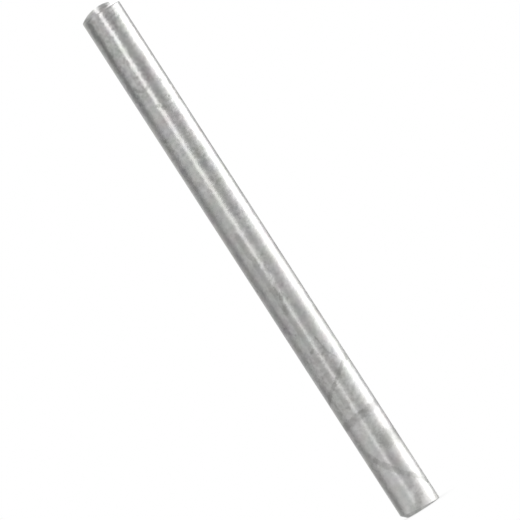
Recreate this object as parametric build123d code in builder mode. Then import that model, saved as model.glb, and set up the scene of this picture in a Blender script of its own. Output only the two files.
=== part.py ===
from build123d import *
from math import radians, tan
import os

# Chain pin: a straight round steel pin that joins the links of a chain.
# It stands on its flat end with the crowned end up. Z is its axis, and sizes are in millimetres.

# Shank
pin_diameter = 6.0
pin_length = 83.0

# Crowned end, which leads when the pin is driven in
crown_height = 1.0
crown_edge_radius = 0.3

# Flat end. Its chamfer was ground off centre: wide on the -X side, almost nothing on the +X side.
chamfer_width = 0.4
chamfer_angle = 45.0
chamfer_offset = 0.34

pin_radius = pin_diameter / 2
crown_base = pin_length - crown_height
crown_radius = (pin_radius**2 + crown_height**2) / (2 * crown_height)

# The grinding cut starts at the rim of the flat face and reaches well past the widest side
cut_start = chamfer_offset + pin_radius - chamfer_width
cut_reach = 2 * (chamfer_width + chamfer_offset)
cut_rise = cut_reach * tan(radians(chamfer_angle))

with BuildPart() as chain_pin:
    # Half of the lengthwise section, closed along the pin's axis
    with BuildSketch(Plane.XZ) as half_section:
        with BuildLine():
            shank_side = Polyline((0, 0), (pin_radius, 0), (pin_radius, crown_base))
            crown_arc = RadiusArc(shank_side @ 1, (0, pin_length), -crown_radius)
            Line(crown_arc @ 1, shank_side @ 0)
        make_face()
        # The crown runs into the shank over a small rounded edge
        crown_edge = half_section.vertices().group_by(Axis.X)[-1].sort_by(Axis.Y)[-1]
        fillet(crown_edge, crown_edge_radius)
    revolve(axis=Axis.Z)

    # The chamfer is turned about its own axis, which stands beside the pin's
    with BuildSketch(Plane.XZ):
        with BuildLine():
            Polyline(
                (cut_start, 0),
                (cut_start + cut_reach, 0),
                (cut_start + cut_reach, cut_rise),
                close=True,
            )
        make_face()
    revolve(axis=Axis((chamfer_offset, 0, 0), (0, 0, 1)), mode=Mode.SUBTRACT)

os.makedirs("parts", exist_ok=True)
chain_pin.part.label = "chain_pin"
export_step(chain_pin.part, "parts/chain_pin.step")
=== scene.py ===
from math import atan2, cos, pi, radians, sin, sqrt, tan
import random

import bmesh
import bpy
from mathutils import Matrix, Vector


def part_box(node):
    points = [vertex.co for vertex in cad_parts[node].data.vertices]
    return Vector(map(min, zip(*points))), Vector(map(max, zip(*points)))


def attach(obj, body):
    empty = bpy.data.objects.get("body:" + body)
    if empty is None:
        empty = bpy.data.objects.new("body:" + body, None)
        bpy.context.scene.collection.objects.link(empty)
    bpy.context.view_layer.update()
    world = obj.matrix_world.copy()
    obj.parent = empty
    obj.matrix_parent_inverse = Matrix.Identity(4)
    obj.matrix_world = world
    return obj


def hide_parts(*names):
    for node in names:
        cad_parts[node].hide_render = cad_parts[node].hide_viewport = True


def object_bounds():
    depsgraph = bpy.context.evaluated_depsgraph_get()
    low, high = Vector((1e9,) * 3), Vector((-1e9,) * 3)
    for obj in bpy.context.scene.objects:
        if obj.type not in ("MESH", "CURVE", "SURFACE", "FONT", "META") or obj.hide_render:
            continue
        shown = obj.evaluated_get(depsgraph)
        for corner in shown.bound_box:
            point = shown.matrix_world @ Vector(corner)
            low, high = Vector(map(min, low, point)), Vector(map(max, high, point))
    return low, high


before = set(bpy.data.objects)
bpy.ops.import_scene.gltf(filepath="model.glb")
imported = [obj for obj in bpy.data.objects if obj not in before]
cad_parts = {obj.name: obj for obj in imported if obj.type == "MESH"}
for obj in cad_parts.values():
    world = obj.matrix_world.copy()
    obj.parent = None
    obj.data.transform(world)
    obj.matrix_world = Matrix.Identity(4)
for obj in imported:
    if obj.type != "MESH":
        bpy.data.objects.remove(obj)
cadLow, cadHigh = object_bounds()
print("frame loaded:", sorted(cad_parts))


# Shader maths: a Wire holds one output socket, and an expression on Wires adds the Math nodes
class Wire:
    def __init__(self, tree, socket=None):
        self.tree = tree
        self.socket = socket

    # any other node: its type, its settings, then the values or links of its sockets
    def node(self, kind, settings=None, sockets=None, out=0):
        made = self.tree.nodes.new(kind)
        for name, value in (settings or {}).items():
            if name == "stops":
                self.setStops(made.color_ramp, value)
            else:
                setattr(made, name, value)
        for name, value in (sockets or {}).items():
            if isinstance(value, Wire):
                self.tree.links.new(value.socket, made.inputs[name])
            else:
                made.inputs[name].default_value = value
        return Wire(self.tree, made.outputs[out] if made.outputs else None)

    def setStops(self, ramp, stops):
        while len(ramp.elements) < len(stops):
            ramp.elements.new(1.0)
        for element, (place, shade) in zip(ramp.elements, stops):
            element.position = place
            element.color = (shade, shade, shade, 1)

    def maths(self, operation, *terms):
        return self.node("ShaderNodeMath", {"operation": operation}, dict(enumerate(terms)))

    def __add__(self, other):
        return self.maths("ADD", self, other)

    def __radd__(self, other):
        return self.maths("ADD", other, self)

    def __sub__(self, other):
        return self.maths("SUBTRACT", self, other)

    def __rsub__(self, other):
        return self.maths("SUBTRACT", other, self)

    def __mul__(self, other):
        return self.maths("MULTIPLY", self, other)

    def __rmul__(self, other):
        return self.maths("MULTIPLY", other, self)

    def __truediv__(self, other):
        return self.maths("DIVIDE", self, other)

    def __rtruediv__(self, other):
        return self.maths("DIVIDE", other, self)

    def __abs__(self):
        return self.maths("ABSOLUTE", self)

    def least(self, other):
        return self.maths("MINIMUM", self, other)

    def most(self, other):
        return self.maths("MAXIMUM", self, other)

    def root(self):
        return self.maths("SQRT", self)

    # 0 below low, 1 above high, with a soft step between
    def step(self, low, high):
        ends = {"Value": self, "From Min": low, "From Max": high}
        return self.node("ShaderNodeMapRange", {"interpolation_type": "SMOOTHSTEP"}, ends)

    def mix(self, share, first, second):
        return self.node("ShaderNodeMix", {"data_type": "RGBA"}, {0: share, 6: first, 7: second}, 2)

    # the three parts of a vector
    def parts(self):
        return [self.node("ShaderNodeSeparateXYZ", sockets={0: self}, out=axis) for axis in range(3)]


# The camera: square to the pin and far away, rolled so that the crowned end leans to the left
shot = {
    "lens": 400,  # mm: long, so that the pin's sides stay parallel
    "sensor": 36,  # mm
    "frameWidth": 0.07217,  # what the frame shows at the pin's axis
    "lean": radians(32.86),
    "aim": (-0.000067, 0, -0.0003),  # from the pin's middle to the middle of the frame
}


def makeCamera():
    distance = shot["frameWidth"] / 2 / (shot["sensor"] / 2 / shot["lens"])
    aim = Vector(shot["aim"]) + (cadLow + cadHigh) / 2
    bpy.ops.object.camera_add(location=aim - Vector((0, distance, 0)))
    camera = bpy.context.object
    camera.name = "camera"
    camera.rotation_euler = (radians(90), shot["lean"], 0)
    camera.rotation_mode = "XYZ"
    camera.data.lens = shot["lens"]
    camera.data.sensor_width = shot["sensor"]
    camera.data.clip_start = distance / 10
    camera.data.clip_end = distance * 4
    bpy.context.scene.camera = camera
    bpy.context.scene.view_settings.view_transform = "Standard"


# The studio, which only the pin's reflections show: pale walls with a broad softbox on the right, a ceiling
# and a ground. A look is the direction of a reflection, and each of its parts lies between -1 and 1.
studio = {
    # brightness of the walls, by the angle in degrees from the camera towards the right
    "walls": (
        (-180, 0.62), (-152, 0.72), (-136, 0.52),
        (-98, 0.25),  # a dark flag on the left
        (-70, 0.62), (-50, 0.7), (-28, 0.57), (-12, 0.65),  # the pale walls on the left and behind the camera
        (10, 0.49), (28, 0.44), (42, 0.53), (60, 0.86), (72, 1.2),
        (88, 2.5), (106, 2.5),  # the broad softbox
        (130, 0.75), (156, 0.42), (164, 0.5),
        (168, 1.15), (174, 1.15),  # a narrow light behind the pin
        (178, 0.62),
    ),
    "wallsLean": 1.5,  # turns the walls with height, so that the bands drift to the left down the pin
    "leanEnds": (-0.35, 0.2),  # the lean grows no further below and above these heights of the look
    "lowWalls": 1.1,  # the walls are no brighter than this below the pin
    "lowWallsStart": (0.1, 0.25),
    # brightness of the ceiling, by its slope: steps to the right for each step up
    "ceiling": (
        (-0.9, 0.5), (-0.62, 0.26), (-0.48, 0.5), (-0.3, 0.66), (-0.16, 0.62),
        (-0.1, 1.7), (-0.04, 1.7),  # the strip that the crown shows
        (0.02, 0.55), (0.2, 0.42), (0.31, 0.6),
        (0.43, 2.5), (0.75, 2.5), (1.0, 1.7), (1.25, 0.6),  # the top of the softbox
    ),
    "steepest": 1.5,  # the slope, to either side, at the ends of the ceiling's ramp
    "leastRise": 0.05,  # slopes are worked out as if each look rose by this much or more
    "ceilingFront": 0.64,  # the ceiling's front half is plain, apart from the strip and the softbox
    "frontStart": (-0.4, -0.1),  # how far forward a look goes where the front half starts
    "frontRight": (0.1, 0.2),  # slopes where it starts, beside the strip
    "frontLeft": (0.25, 0.35),
    "frontEnd": (0.75, 0.95),  # slopes where it stops again on the right
    "overCamera": 0.95,  # all is plain where a look goes further forward than this share of its rise
    "overCameraStart": (0, 0.1),
    "ceilingTilt": 0.2,  # the ceiling comes down lower at the back
    "ceilingStart": (0.25, 0.5),  # height of the look where the walls give way to the ceiling
    "ceilingOnly": (0.6, 0.75),  # and where they have done so at the front as well
    "ground": 0.5,
    "groundStart": (0.45, 0.85),
    "brightest": 3.0,  # the ramps hold shares of this
}


def makeRamp(wire, stops, factor):
    shares = [(place, shade / studio["brightest"]) for place, shade in stops]
    return wire.node("ShaderNodeValToRGB", {"stops": shares}, {0: factor})


def makeWalls(wire, x, y, z):
    leanLow, leanHigh = studio["leanEnds"]
    lean = z.most(leanLow).least(leanHigh) * studio["wallsLean"]
    turn = (x.maths("ARCTAN2", x, 0 - y) - lean) / (2 * pi) + 0.5
    walls = makeRamp(wire, [(angle / 360 + 0.5, shade) for angle, shade in studio["walls"]], turn)
    dimmed = walls.least(studio["lowWalls"] / studio["brightest"])
    return wire.mix((0 - z).step(*studio["lowWallsStart"]), walls, dimmed)


def makeCeiling(wire, x, y, z):
    rampWidth = 2 * studio["steepest"]
    slope = x / z.most(studio["leastRise"])
    stops = [(place / rampWidth + 0.5, shade) for place, shade in studio["ceiling"]]
    ceiling = makeRamp(wire, stops, slope / rampWidth + 0.5)
    besideStrip = slope.step(*studio["frontRight"]).most((0 - slope).step(*studio["frontLeft"]))
    atFront = (0 - y).step(*studio["frontStart"]) * besideStrip * (1 - slope.step(*studio["frontEnd"]))
    overCamera = (0 - y - z * studio["overCamera"]).step(*studio["overCameraStart"])
    front = studio["ceilingFront"] / studio["brightest"]
    return wire.mix(atFront.most(overCamera), ceiling, (front, front, front, 1))


def makeSurroundings():
    world = bpy.data.worlds.new("studio")
    bpy.context.scene.world = world
    world.use_nodes = True
    world.node_tree.nodes.clear()
    wire = Wire(world.node_tree)
    x, y, z = wire.node("ShaderNodeTexCoord").parts()
    walls, ceiling = makeWalls(wire, x, y, z), makeCeiling(wire, x, y, z)
    height = z + y * studio["ceilingTilt"] + y.least(0)  # the walls reach higher at the front
    share = height.step(*studio["ceilingStart"]).most(z.step(*studio["ceilingOnly"]))
    shade = wire.mix(share, walls, ceiling)
    ground = studio["ground"] / studio["brightest"]
    shade = wire.mix((0 - z).step(*studio["groundStart"]), shade, (ground, ground, ground, 1))
    around = wire.node("ShaderNodeBackground", sockets={0: shade, 1: studio["brightest"]})
    backdrop = wire.node("ShaderNodeBackground", sockets={0: (1, 1, 1, 1), 1: 1})
    seen = wire.node("ShaderNodeLightPath")  # Is Camera Ray
    both = wire.node("ShaderNodeMixShader", sockets={0: seen, 1: around, 2: backdrop})
    wire.node("ShaderNodeOutputWorld", sockets={0: both})


# The strip light: tall and leaning, in front of the pin and a little to its left
stripLight = {
    "angle": -13.2,  # at the height of the pin's middle, in degrees from the camera towards the right
    "lean": 39,  # degrees, its top to the right
    "distance": 0.5,
    "width": 0.135,
    "bottom": -0.04,
    "top": 0.3,
    "radiance": 0.98,
}


def makeStripLight():
    angle, lean = radians(stripLight["angle"]), radians(stripLight["lean"])
    tall = stripLight["top"] - stripLight["bottom"]
    middle = (stripLight["bottom"] + stripLight["top"]) / 2
    towards = Vector((sin(angle), -cos(angle), 0))
    aside = (middle - (cadLow.z + cadHigh.z) / 2) * tan(lean)
    place = towards * stripLight["distance"] + Vector((aside, 0, middle))
    bpy.ops.object.light_add(type="AREA", location=place)
    strip = bpy.context.object
    strip.name = "stripLight"
    facing = Matrix.Rotation(angle, 3, "Z") @ Matrix.Rotation(radians(90), 3, "X")  # towards the pin
    strip.rotation_euler = (facing @ Matrix.Rotation(-lean, 3, "Z")).to_euler()
    strip.data.shape = "RECTANGLE"
    strip.data.size = stripLight["width"]
    strip.data.size_y = tall
    strip.data.energy = stripLight["radiance"] * pi * stripLight["width"] * tall
    strip.visible_camera = False


# The floor: plain and pale, with a soft contact shadow
floorLook = {"halfSide": 0.6, "drop": 0.00002, "shadowReach": 0.003, "shadowShare": 0.2, "shadowSamples": 8}


def makeFloor():
    bpy.ops.mesh.primitive_plane_add(size=2 * floorLook["halfSide"], location=(0, 0, -floorLook["drop"]))
    floor = bpy.context.object
    floor.name = "floor"
    material = bpy.data.materials.new("paleFloor")
    material.use_nodes = True
    material.node_tree.nodes.clear()
    wire = Wire(material.node_tree)
    reach = {"Distance": floorLook["shadowReach"]}
    openness = wire.node("ShaderNodeAmbientOcclusion", {"samples": floorLook["shadowSamples"]}, reach, 1)
    light = openness * floorLook["shadowShare"] + (1 - floorLook["shadowShare"])
    pale = wire.node("ShaderNodeEmission", sockets={"Strength": light})
    clear = wire.node("ShaderNodeBsdfTransparent")
    underside = wire.node("ShaderNodeNewGeometry", out=6)  # Backfacing
    surface = wire.node("ShaderNodeMixShader", sockets={0: underside, 1: pale, 2: clear})
    wire.node("ShaderNodeOutputMaterial", sockets={0: surface})
    floor.data.materials.append(material)
    floor.visible_glossy = False
    floor.visible_diffuse = False
    floor.visible_shadow = False


makeCamera()
makeSurroundings()
makeStripLight()
makeFloor()
print("camera, studio and floor made")


# The pin, all in metres. Its radius and length come from the frame.
pin = {
    "facets": 128,  # points round the shank
    "rings": (8, 70),  # parts of the shank, and rings in each
    "crownHeight": 0.001,
    "crownEdge": 0.0003,  # rounding between the shank and the crown
    "crownRings": (4, 14),  # on the rounding and on the dome
    "chamferWidth": 0.0004,
    "chamferOffset": 0.00034,  # the chamfer's axis stands this far beside the pin's
    "footRing": 0.0016,  # height of the shank's first ring, clear of the chamfer
    "faceRings": 12,
    "edgeBreak": 0.00002,  # worn rounding on the chamfer's two edges
    "sharp": radians(30),  # edges sharper than this are worn round, and stay crisp in the shading
    "waves": ((0.009, 0.00002), (0.0025, 0.000006)),  # size and depth of the unevenness of the shank
    "dents": 46,
    "dentHeights": (0.01, 0.985, 0.12),  # lowest, highest and commonest, as shares of the length
    "dentDepth": (0.000008, 0.000028),
    "dentSize": (0.00025, 0.0006),
    "seed": 7,
    "sameHeight": 0.000001,  # points this close in height are on one ring
}


def pickRing(height):
    # selects the points at one height of the mesh in edit mode
    mesh = bmesh.from_edit_mesh(bpy.context.object.data)
    for vertex in mesh.verts:
        vertex.select = abs(vertex.co.z - height) < pin["sameHeight"]
    mesh.select_flush_mode()
    mesh.select_flush(True)
    bmesh.update_edit_mesh(bpy.context.object.data)


def growRing(rise, ratio, height):
    # extrudes the selected ring upwards and scales it about the pin's axis
    bpy.ops.mesh.extrude_edges_move(TRANSFORM_OT_translate={"value": (0, 0, rise)})
    bpy.ops.transform.resize(value=(ratio, ratio, 1), center_override=(0, 0, height))


def makeCrown(radius, length, edgeCentre, domeRadius):
    # a rounding and then a dome, ring by ring, from the selected ring at the top of the shank
    edge = pin["crownEdge"]
    domeCentre = length - domeRadius
    domeStart = atan2(edgeCentre - domeCentre, radius - edge)
    roundingRings, domeRings = pin["crownRings"]
    path = []
    for step in range(1, roundingRings + 1):
        angle = domeStart * step / roundingRings
        path.append((radius - edge + edge * cos(angle), edgeCentre + edge * sin(angle)))
    for step in range(1, domeRings):
        angle = domeStart + (pi / 2 - domeStart) * step / domeRings
        path.append((domeRadius * cos(angle), domeCentre + domeRadius * sin(angle)))
    here, height = radius, edgeCentre
    for across, up in path:
        growRing(up - height, across / here, up)
        here, height = across, up
    bpy.ops.mesh.extrude_edges_move(TRANSFORM_OT_translate={"value": (0, 0, length - height)})
    bpy.ops.mesh.merge(type="CENTER")


def makeFlatEnd(radius):
    # the ring above the chamfer is tilted, because the chamfer is off centre
    tilt = atan2(pin["chamferOffset"], radius)
    pickRing(pin["footRing"])
    middle = (0, 0, pin["chamferWidth"])
    down = pin["chamferWidth"] - pin["footRing"]
    bpy.ops.mesh.extrude_edges_move(TRANSFORM_OT_translate={"value": (0, 0, down)})
    bpy.ops.transform.rotate(value=-tilt, orient_axis="Y", center_override=middle)  # turns the other way
    bpy.ops.transform.resize(value=(1 / cos(tilt), 1, 1), center_override=middle)
    bpy.ops.mesh.extrude_edges_move(TRANSFORM_OT_translate={"value": (0, 0, -pin["chamferWidth"])})
    faceRatio = 1 - pin["chamferWidth"] / radius
    bpy.ops.transform.resize(value=(faceRatio, faceRatio, 0), center_override=(0, 0, 0))
    bpy.ops.transform.translate(value=(pin["chamferOffset"], 0, 0))
    faceCentre = (pin["chamferOffset"], 0, 0)
    for step in range(pin["faceRings"], 1, -1):
        bpy.ops.mesh.extrude_edges_move()
        ratio = (step - 1) / step
        bpy.ops.transform.resize(value=(ratio, ratio, 1), center_override=faceCentre)
    bpy.ops.mesh.extrude_edges_move()
    bpy.ops.mesh.merge(type="CENTER")


def cutShank(bottom, top):
    # divides the long faces of the shank into parts, and each part into rings
    spare = pin["sameHeight"]
    bpy.ops.mesh.select_mode(type="EDGE")
    for pieces in pin["rings"]:
        bpy.ops.mesh.select_all(action="DESELECT")
        mesh = bmesh.from_edit_mesh(bpy.context.object.data)
        for edge in mesh.edges:
            low, high = sorted(point.co.z for point in edge.verts)
            edge.select_set(low > bottom - spare and high < top + spare and high - low > spare)
        bmesh.update_edit_mesh(bpy.context.object.data)
        bpy.ops.mesh.subdivide(number_cuts=pieces - 1)
    bpy.ops.mesh.select_mode(type="VERT")


def breakEdges():
    # the chamfer's two edges are worn round
    bpy.ops.mesh.select_mode(type="EDGE")
    bpy.ops.mesh.select_all(action="DESELECT")
    bpy.ops.mesh.edges_select_sharp(sharpness=pin["sharp"])
    bpy.ops.mesh.bevel(offset=pin["edgeBreak"], segments=2, affect="EDGES")
    bpy.ops.mesh.select_mode(type="VERT")


def dentShank(radius, length):
    # small knocks, each pushed in towards the axis with a soft surround
    places = random.Random(pin["seed"])
    mesh = bmesh.from_edit_mesh(bpy.context.object.data)
    for dent in range(pin["dents"]):
        turn = places.uniform(-pi, pi)
        height = length * places.triangular(*pin["dentHeights"])
        inward = Vector((-sin(turn), cos(turn), 0))
        spot = Vector((0, 0, height)) - inward * radius
        near = min(mesh.verts, key=lambda point: (point.co - spot).length_squared)
        bpy.ops.mesh.select_all(action="DESELECT")
        near.select_set(True)
        bpy.ops.transform.translate(
            value=inward * places.uniform(*pin["dentDepth"]),
            use_proportional_edit=True,
            proportional_edit_falloff="SMOOTH",
            proportional_size=places.uniform(*pin["dentSize"]),
        )


def unevenShank(body):
    # the shank isn't dead true: long shallow waves and shorter ones
    for size, depth in pin["waves"]:
        waves = bpy.data.textures.new("waves", "CLOUDS")
        waves.noise_scale = size
        displace = body.modifiers.new("waves", "DISPLACE")
        displace.texture = waves
        displace.texture_coords = "LOCAL"
        displace.direction = "NORMAL"
        displace.strength = depth
        displace.mid_level = 0.5
        bpy.ops.object.modifier_apply(modifier=displace.name)
        bpy.data.textures.remove(waves)


def makePin():
    low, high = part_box("chain_pin")
    radius, length = (high.x - low.x) / 2, high.z
    domeRadius = (radius ** 2 + pin["crownHeight"] ** 2) / (2 * pin["crownHeight"])
    edge = pin["crownEdge"]
    edgeCentre = length - domeRadius + sqrt((domeRadius - edge) ** 2 - (radius - edge) ** 2)
    foot = pin["footRing"]

    bpy.ops.object.select_all(action="DESELECT")
    bpy.ops.mesh.primitive_circle_add(vertices=pin["facets"], radius=radius, location=(0, 0, foot))
    body = bpy.context.object
    body.name = "pin"
    bpy.ops.object.transform_apply(location=True, rotation=True, scale=True)
    bpy.ops.object.mode_set(mode="EDIT")
    bpy.ops.mesh.select_mode(type="VERT")
    bpy.ops.mesh.select_all(action="SELECT")
    bpy.ops.mesh.extrude_edges_move(TRANSFORM_OT_translate={"value": (0, 0, edgeCentre - foot)})
    makeCrown(radius, length, edgeCentre, domeRadius)
    makeFlatEnd(radius)
    breakEdges()
    cutShank(foot, edgeCentre)
    dentShank(radius, length)
    bpy.ops.mesh.select_all(action="SELECT")
    bpy.ops.mesh.normals_make_consistent(inside=False)
    bpy.ops.object.mode_set(mode="OBJECT")
    unevenShank(body)
    bpy.ops.object.shade_smooth_by_angle(angle=pin["sharp"])
    return body


# Scuffs: the places that each ragged stroke runs through, as (angle, height), then its width and strength.
# Heights are in metres, and angles in degrees to the right of the middle of the side named.
scuffs = {
    "front": (
        # the smudge below the middle
        (((2, 0.0402), (-7, 0.0380)), 0.0003, 0.35),
        (((-5, 0.0373), (-9, 0.0359)), 0.0004, 0.4),
        (((-3, 0.0356), (-9, 0.0351)), 0.00045, 0.34),
        (((-9, 0.0352), (-13, 0.0343), (-19, 0.0330)), 0.0004, 0.36),
        (((-7, 0.0372), (-13, 0.0335)), 0.0011, 0.14),
        # long faint rubs down the shank
        (((-19, 0.0455), (-17, 0.0400), (-16, 0.0300), (-17, 0.0176)), 0.0006, 0.3),
        (((-22, 0.0490), (-23, 0.0300), (-24, 0.0160)), 0.0009, 0.14),
        (((6, 0.0300), (6, 0.0200), (3, 0.0120), (2, 0.0060)), 0.0005, 0.2),
        # the slanting stroke, and the dull band right across under it
        (((38, 0.0232), (3, 0.0218), (-36, 0.0204), (-80, 0.0188)), 0.00035, 0.5),
        (((80, 0.0160), (10, 0.0156), (-80, 0.0152)), 0.00078, 0.44),
        (((22, 0.0156), (0, 0.0161), (-8, 0.0159)), 0.0003, 0.2),
        # the patch on the right, with a nick above it
        (((60, 0.0108), (30, 0.0109)), 0.0018, 0.5),
        (((40, 0.0112), (24, 0.0106)), 0.0006, 0.08),
        (((68, 0.0238), (60, 0.0233)), 0.0005, 0.6),
        # the long slanting stroke near the flat end
        (((70, 0.0029), (6, 0.0061), (-36, 0.0093)), 0.0005, 0.45),
        (((-36, 0.0093), (-44, 0.0101), (-74, 0.0130)), 0.0006, 0.24),
        # nicks and short ragged marks, from the crowned end down
        (((-47, 0.0812), (-58, 0.0796)), 0.0005, 0.4),
        (((-44, 0.0782), (-56, 0.0738)), 0.0005, 0.38),
        (((-50, 0.0716), (-58, 0.0690)), 0.0006, 0.38),
        (((0, 0.0697), (-18, 0.0695), (-33, 0.0699), (-38, 0.0705)), 0.0003, 0.45),
        (((36, 0.0697), (41, 0.0697)), 0.0003, 0.5),
        (((-44, 0.0686), (-50, 0.0683)), 0.0004, 0.4),
        (((-4, 0.0667), (-10, 0.0668)), 0.0003, 0.5),
        (((8, 0.0660), (2, 0.0661)), 0.0003, 0.6),
        (((-66, 0.0377), (-68, 0.0377)), 0.00025, 0.8),
        (((10, 0.0282), (17, 0.0254), (31, 0.0243)), 0.00016, 0.5),
        (((-14, 0.0268), (-20, 0.0265)), 0.0003, 0.4),
        (((-66, 0.0085), (-58, 0.0020)), 0.0008, 0.3),
        (((12, 0.0022), (-10, 0.0002)), 0.0006, 0.3),
    ),
    "back": (
        (((34, 0.0642), (58, 0.0655)), 0.0003, 0.5),
        (((-50, 0.0575), (-20, 0.0588)), 0.0003, 0.4),
        (((-24, 0.0492), (-31, 0.0440)), 0.0004, 0.5),
        (((70, 0.0300), (12, 0.0312)), 0.0007, 0.35),
        (((8, 0.0240), (14, 0.0150)), 0.0012, 0.3),
        (((-38, 0.0140), (52, 0.0176)), 0.0005, 0.5),
        (((-66, 0.0078), (20, 0.0052)), 0.0005, 0.45),
    ),
}

# How every scuff looks
scuffLook = {
    "solid": 0.45,  # share of the width that is solid, before the ragged edge
    "sideFade": 0.3,  # a side's scuffs fade out over this share of the radius, next to the other side
    "patchy": 0.4,  # share of the strength that is lost where the wear is light
    "patchyStep": (0.25, 0.6),
}


def gapToStroke(across, up, places, radius):
    # how far each point of the unrolled surface is from one stroke
    nearest = None
    for start, end in zip(places, places[1:]):
        startAcross, endAcross = radians(start[0]) * radius, radians(end[0]) * radius
        runAcross, runUp = endAcross - startAcross, end[1] - start[1]
        lengthSquared = runAcross ** 2 + runUp ** 2
        fromAcross, fromUp = across - startAcross, up - start[1]
        along = fromAcross * (runAcross / lengthSquared) + fromUp * (runUp / lengthSquared)
        along = along.least(1).most(0)
        missAcross, missUp = fromAcross - along * runAcross, fromUp - along * runUp
        gap = (missAcross * missAcross + missUp * missUp).root()
        nearest = gap if nearest is None else nearest.least(gap)
    return nearest


def makeScuffs(x, y, z, radius, ragged, wear):
    # the strokes of both sides, added up, and then weaker in patches
    scuffed = 0
    for side, strokes in scuffs.items():
        facing = -1 if side == "front" else 1
        across = x.maths("ARCTAN2", x * -facing, y * facing) * radius
        onSide = (y * facing).step(0, radius * scuffLook["sideFade"])
        for places, width, strength in strokes:
            gap = gapToStroke(across, z, places, radius)
            outside = (gap + ragged * width).step(width * scuffLook["solid"], width)
            scuffed = scuffed + (1 - outside) * onSide * strength
    kept = 1 - scuffLook["patchy"] + wear.step(*scuffLook["patchyStep"]) * scuffLook["patchy"]
    return (scuffed * kept).least(1)


# Ground steel, with lengths in metres
steel = {
    "dark": (0.444, 0.442, 0.435, 1),
    "bright": (0.8, 0.797, 0.783, 1),
    "grime": (0.33, 0.33, 0.315, 1),
    "roughness": (0.19, 0.34),  # at the crowned end, and at the flat end, which is duller
    "flatEndReach": 0.4,  # share of the length over which the steel gets paler towards the flat end
    # each noise: repeats per metre, detail and roughness
    "noises": {
        "mottle": (720, 3, 0.6),
        "grain": (2100, 2, 0.5),
        "flakes": (260, 2, 0.5),  # where the grain is strong
        "patches": (130, 2, 0.5),
        "clouds": (330, 2, 0.6),
        "wear": (600, 3, 0.7),  # where handling has marked the steel
        "ragged": (1500, 3, 0.65),
        "raggedFine": (4200, 2, 0.5),
        # these three run on coordinates that are scaled first
        "lay": (1, 2, 0.5),
        "turning": (1, 3, 0.6),
        "scratches": (1, 1, 0.5),
    },
    "softEdge": (0.4, 0.6),  # turns the flakes and clouds into spots
    "raggedFineShare": 0.8,
    "lay": (260, 260, 5200),  # fine grinding lines round the pin
    "turning": 2600,  # facing marks on both ends
    "endStart": (0.5, 0.7),  # how squarely an end faces up or down, where its marks start
    "rimWear": 0.00012,  # width of the bright worn line along the chamfer
    # each direction of the hairline scratches: its turn, and then its scales
    "scratches": (((0.5, 0.3, 1.1), (90, 2600, 2600)), ((1.3, 0.2, 2.3), (2300, 70, 2300))),
    "scratchEdge": (0.68, 0.76),  # only the peaks of their noise show
    "scratchWear": (0.45, 0.7),  # and only where the wear is strong
    "speckCells": 620,  # per metre
    "speckEdge": (0.05, 0.16),  # the rim of a speck, in cells from its middle
    "speckRagged": 0.15,
    "speckChance": (0.86, 0.88),  # a cell has a speck when its own number is above this
    "speckShade": 0.5,  # as a share of the grime's colour
    "hueScale": 420,  # faint colours
    "hueShare": 0.1,
    # what each pattern adds to the brightness, the roughness and the relief
    "tone": 0.52,
    "toneShares": {
        "mottle": 0.8, "grain": 0.9, "patches": 0.4, "clouds": 0.15, "scratches": 0.2, "turning": 0.8,
        "rims": 0.4, "flatEnd": 0.25,
    },
    "dullShares": {
        "patches": 0.12, "mottle": 0.14, "grain": 0.1, "scuffs": 0.06, "specks": 0.1, "rims": -0.1,
    },
    "depths": {
        "mottle": 0.00004, "grain": 0.000007, "lay": 0.000006, "turning": 0.000004, "scuffs": -0.000006,
        "specks": -0.000006, "scratches": -0.000003,
    },
}


def makeNoise(vector, name):
    scale, detail, rough = steel["noises"][name]
    return vector.node("ShaderNodeTexNoise", sockets={
        "Vector": vector, "Scale": scale, "Detail": detail, "Roughness": rough,
    })


def scaled(vector, scale, turn=(0, 0, 0)):
    turned = vector.node("ShaderNodeMapping", {"vector_type": "POINT"}, {"Vector": vector, "Rotation": turn})
    return vector.node("ShaderNodeMapping", {"vector_type": "POINT"}, {"Vector": turned, "Scale": scale})


def makeTurning(place, x, y):
    # both ends are turned, with fine rings about the axis
    upward = place.node("ShaderNodeTexCoord", out=1).parts()[2]  # of the Normal
    fromAxis = (x * x + y * y).root()
    rings = place.node("ShaderNodeCombineXYZ", sockets={0: fromAxis * steel["turning"]})
    return (makeNoise(rings, "turning") - 0.5) * abs(upward).step(*steel["endStart"])


def makeRims(x, z, radius):
    # the chamfer's upper edge is worn bright
    chamferTop = pin["chamferWidth"] - x * (pin["chamferOffset"] / radius)
    return 1 - abs(z - chamferTop).step(0, steel["rimWear"])


def makeSpecks(place, ragged):
    # small dark pits in some of the cells
    cells = {"Vector": place, "Scale": steel["speckCells"]}
    fromMiddle = place.node("ShaderNodeTexVoronoi", sockets=cells)
    cellColour = place.node("ShaderNodeTexVoronoi", sockets=cells, out=1)
    chance = place.node("ShaderNodeSeparateColor", sockets={0: cellColour})
    pits = 1 - (fromMiddle + ragged * steel["speckRagged"]).step(*steel["speckEdge"])
    return pits * chance.step(*steel["speckChance"])


def makeScratches(place, wear):
    # hairlines in a few directions, thinned out where the wear is light
    scratches = 0
    for turn, scale in steel["scratches"]:
        streaks = makeNoise(scaled(place, scale, turn), "scratches")
        scratches = scratches + streaks.step(*steel["scratchEdge"])
    return scratches * wear.step(*steel["scratchWear"])


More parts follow.
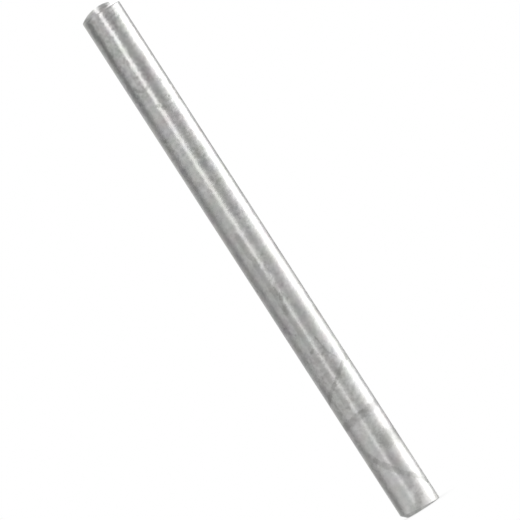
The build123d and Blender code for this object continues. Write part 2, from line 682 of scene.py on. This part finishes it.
def makeSteel(radius, length):
    material = bpy.data.materials.new("groundSteel")
    material.use_nodes = True
    material.node_tree.nodes.clear()
    wire = Wire(material.node_tree)
    place = wire.node("ShaderNodeTexCoord", out=3)  # Object
    x, y, z = place.parts()
    up = z / length
    wear = makeNoise(place, "wear")
    ragged = (makeNoise(place, "raggedFine") - 0.5) * steel["raggedFineShare"]
    ragged = ragged + makeNoise(place, "ragged") - 0.5
    flakes = makeNoise(place, "flakes").step(*steel["softEdge"])
    patterns = {
        "mottle": makeNoise(place, "mottle") - 0.5,
        "grain": (makeNoise(place, "grain") - 0.5) * (0.5 + flakes),
        "lay": makeNoise(scaled(place, steel["lay"]), "lay") - 0.5,
        "patches": makeNoise(place, "patches") - 0.5,
        "clouds": makeNoise(place, "clouds").step(*steel["softEdge"]) - 0.5,
        "turning": makeTurning(place, x, y),
        "rims": makeRims(x, z, radius) * wear,
        "scuffs": makeScuffs(x, y, z, radius, ragged, wear),
        "specks": makeSpecks(place, ragged),
        "scratches": makeScratches(place, wear),
        "flatEnd": 1 - up.step(0, steel["flatEndReach"]),
    }

    # a start, and each pattern in its share
    def addUp(total, shares):
        for name, share in shares.items():
            total = total + patterns[name] * share
        return total

    colour = wire.mix(addUp(steel["tone"], steel["toneShares"]), steel["dark"], steel["bright"])
    hues = wire.node("ShaderNodeTexNoise", sockets={"Vector": place, "Scale": steel["hueScale"]}, out=1)
    overlay = {"data_type": "RGBA", "blend_type": "OVERLAY"}
    colour = wire.node("ShaderNodeMix", overlay, {0: steel["hueShare"], 6: colour, 7: hues}, 2)
    dirt = patterns["scuffs"].most(patterns["specks"] * steel["speckShade"])
    colour = wire.mix(dirt, colour, steel["grime"])
    crownRough, flatRough = steel["roughness"]
    dull = addUp(flatRough - up * up * (flatRough - crownRough), steel["dullShares"])
    relief = wire.node("ShaderNodeBump", sockets={
        "Strength": 1, "Distance": 1, "Height": addUp(0, steel["depths"]),
    })
    metal = wire.node("ShaderNodeBsdfPrincipled", sockets={
        "Base Color": colour, "Metallic": 1.0, "Roughness": dull, "Normal": relief,
    })
    wire.node("ShaderNodeOutputMaterial", sockets={0: metal})
    return material


body = makePin()
print("pin shaped:", len(body.data.polygons), "faces")
body.data.materials.append(makeSteel(cadHigh.x, cadHigh.z))
print("ground steel made, with", sum(len(strokes) for strokes in scuffs.values()), "scuffs")
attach(body, "root")
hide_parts("chain_pin")
